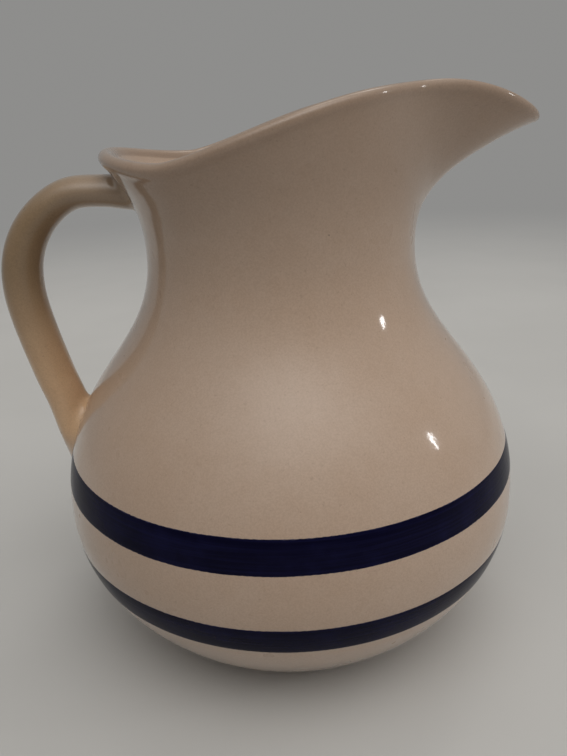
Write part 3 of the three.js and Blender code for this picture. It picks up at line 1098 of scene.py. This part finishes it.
# The soft lights of the dome: degrees round from the camera's side, degrees up, tightness, strength.
# The low ones light the pitcher but stay out of sight, so the backdrop is plain from every side.
DOME = (
    (0, 65, 10, 1.7),
    (45, 65, 10, 1.3),
    (-45, 65, 10, 0.58),
    (-60, 42, 16, 0.54),
    (60, 42, 16, 0.43),
    (100, 42, 16, 0.25),
    (60, 15, 12, 0.85),
    (110, 15, 12, 0.79),
    (175, 70, 100, 2.5),
    (147, 56, 100, 2.5),
)
LOW_LIGHT = 50  # degrees up
LAMP_WIDTH = 0.06
LAMP_HEIGHT = 0.13
LAMP_DISTANCE = 1.2
LAMP_TARGET = Vector((0.045, -0.060, 0.099))  # the highlight on the belly
LAMP_HEADING = Vector((0.937, -0.102, 0.333)).normalized()


def direction(round_degrees, up_degrees):
    turn, rise = math.radians(round_degrees), math.radians(up_degrees)
    return Vector((math.sin(turn) * math.cos(rise), -math.cos(turn) * math.cos(rise), math.sin(rise)))


def hang_light(scene, studio):
    world = bpy.data.worlds.new("soft_dome")
    scene.world = world
    world.use_nodes = True
    tree = world.node_tree
    heading = add(tree, "ShaderNodeTexCoord").outputs["Generated"]
    seen = seen_directly(tree)
    glow = 0.0
    for round_degrees, up_degrees, tightness, amount in DOME:
        towards = direction(round_degrees, up_degrees)
        light = dot(tree, heading, towards).above(0.0) ** float(tightness) * (amount * studio.dome_light)
        glow = glow + (light * (1 - seen) if up_degrees < LOW_LIGHT else light)
    walls = tree.nodes["Background"]
    walls.inputs["Color"].default_value = (*studio.backdrop, 1.0)
    behind = dot(tree, heading, direction(180, 20)).above(0.0) ** 3.0 * studio.wall_light
    plug(tree, mix(behind, 1.0, seen), walls.inputs["Strength"])
    panels = add(tree, "ShaderNodeBackground", {"Color": (1.0, 0.985, 0.96, 1.0), "Strength": glow})
    both = add(tree, "ShaderNodeAddShader", {0: walls.outputs[0], 1: panels.outputs[0]})
    tree.links.new(both.outputs[0], tree.nodes["World Output"].inputs["Surface"])

    lamp = bpy.data.lights.new("small_lamp", "AREA")
    lamp.shape = "ELLIPSE"
    lamp.size = LAMP_WIDTH
    lamp.size_y = LAMP_HEIGHT
    lamp.energy = studio.lamp_power
    holder = bpy.data.objects.new("small_lamp", lamp)
    scene.collection.objects.link(holder)
    turn = LAMP_HEADING.to_track_quat("Z", "Y").to_matrix().to_4x4()
    holder.matrix_world = Matrix.Translation(LAMP_TARGET + LAMP_HEADING * LAMP_DISTANCE) @ turn


def stand_camera(scene, studio):
    yaw, pitch, roll = studio.camera_yaw, studio.camera_pitch, studio.camera_roll
    ahead = Vector((math.sin(yaw) * math.cos(pitch), math.cos(yaw) * math.cos(pitch), -math.sin(pitch)))
    right = Vector((math.cos(yaw), -math.sin(yaw), 0))
    up = right.cross(ahead)
    tilted_right = math.cos(roll) * right + math.sin(roll) * up
    tilted_up = math.cos(roll) * up - math.sin(roll) * right
    camera = bpy.data.cameras.new("camera")
    camera.sensor_width = 36
    camera.lens = studio.lens
    camera.clip_start = 0.01
    holder = bpy.data.objects.new("camera", camera)
    turn = Matrix((tilted_right, tilted_up, -ahead)).transposed().to_4x4()
    holder.matrix_world = Matrix.Translation(studio.camera_place) @ turn
    scene.collection.objects.link(holder)
    scene.camera = holder


class PITCHER_PT_workshop(bpy.types.Panel):
    """Steps and settings of the pitcher"""

    bl_idname = "PITCHER_PT_workshop"
    bl_label = "Stoneware pitcher"
    bl_space_type = "VIEW_3D"
    bl_region_type = "UI"
    bl_category = "Pitcher"

    def draw(self, context):
        steps = self.layout.column()
        for step in STEPS:
            steps.operator(step.bl_idname)
        for key, group in settings_of(context.scene.pitcher):
            box = self.layout.box()
            box.label(text=group.name or key)
            sizes = getattr(context.scene.pitcher, key)
            for setting, _ in settings_of(sizes):
                box.prop(sizes, setting)


STEPS = (
    PITCHER_OT_throw_vessel,
    PITCHER_OT_pull_handle,
    PITCHER_OT_brush_bands,
    PITCHER_OT_scatter_specks,
    PITCHER_OT_set_stage,
)
CLASSES = (
    VesselSizes,
    HandleSizes,
    BandSizes,
    BrushSizes,
    SpeckSizes,
    FinishColours,
    StudioSettings,
    PitcherSettings,
    *STEPS,
    PITCHER_PT_workshop,
)


def register():
    for each in CLASSES:
        bpy.utils.register_class(each)
    bpy.types.Scene.pitcher = PointerProperty(type=PitcherSettings)


def unregister():
    del bpy.types.Scene.pitcher
    for each in reversed(CLASSES):
        bpy.utils.unregister_class(each)


def main():
    register()
    bpy.ops.pitcher.throw_vessel()
    bpy.ops.pitcher.pull_handle()
    bpy.ops.pitcher.brush_bands()
    bpy.ops.pitcher.scatter_specks()
    bpy.ops.pitcher.set_stage()


if __name__ == "__main__":
    main()
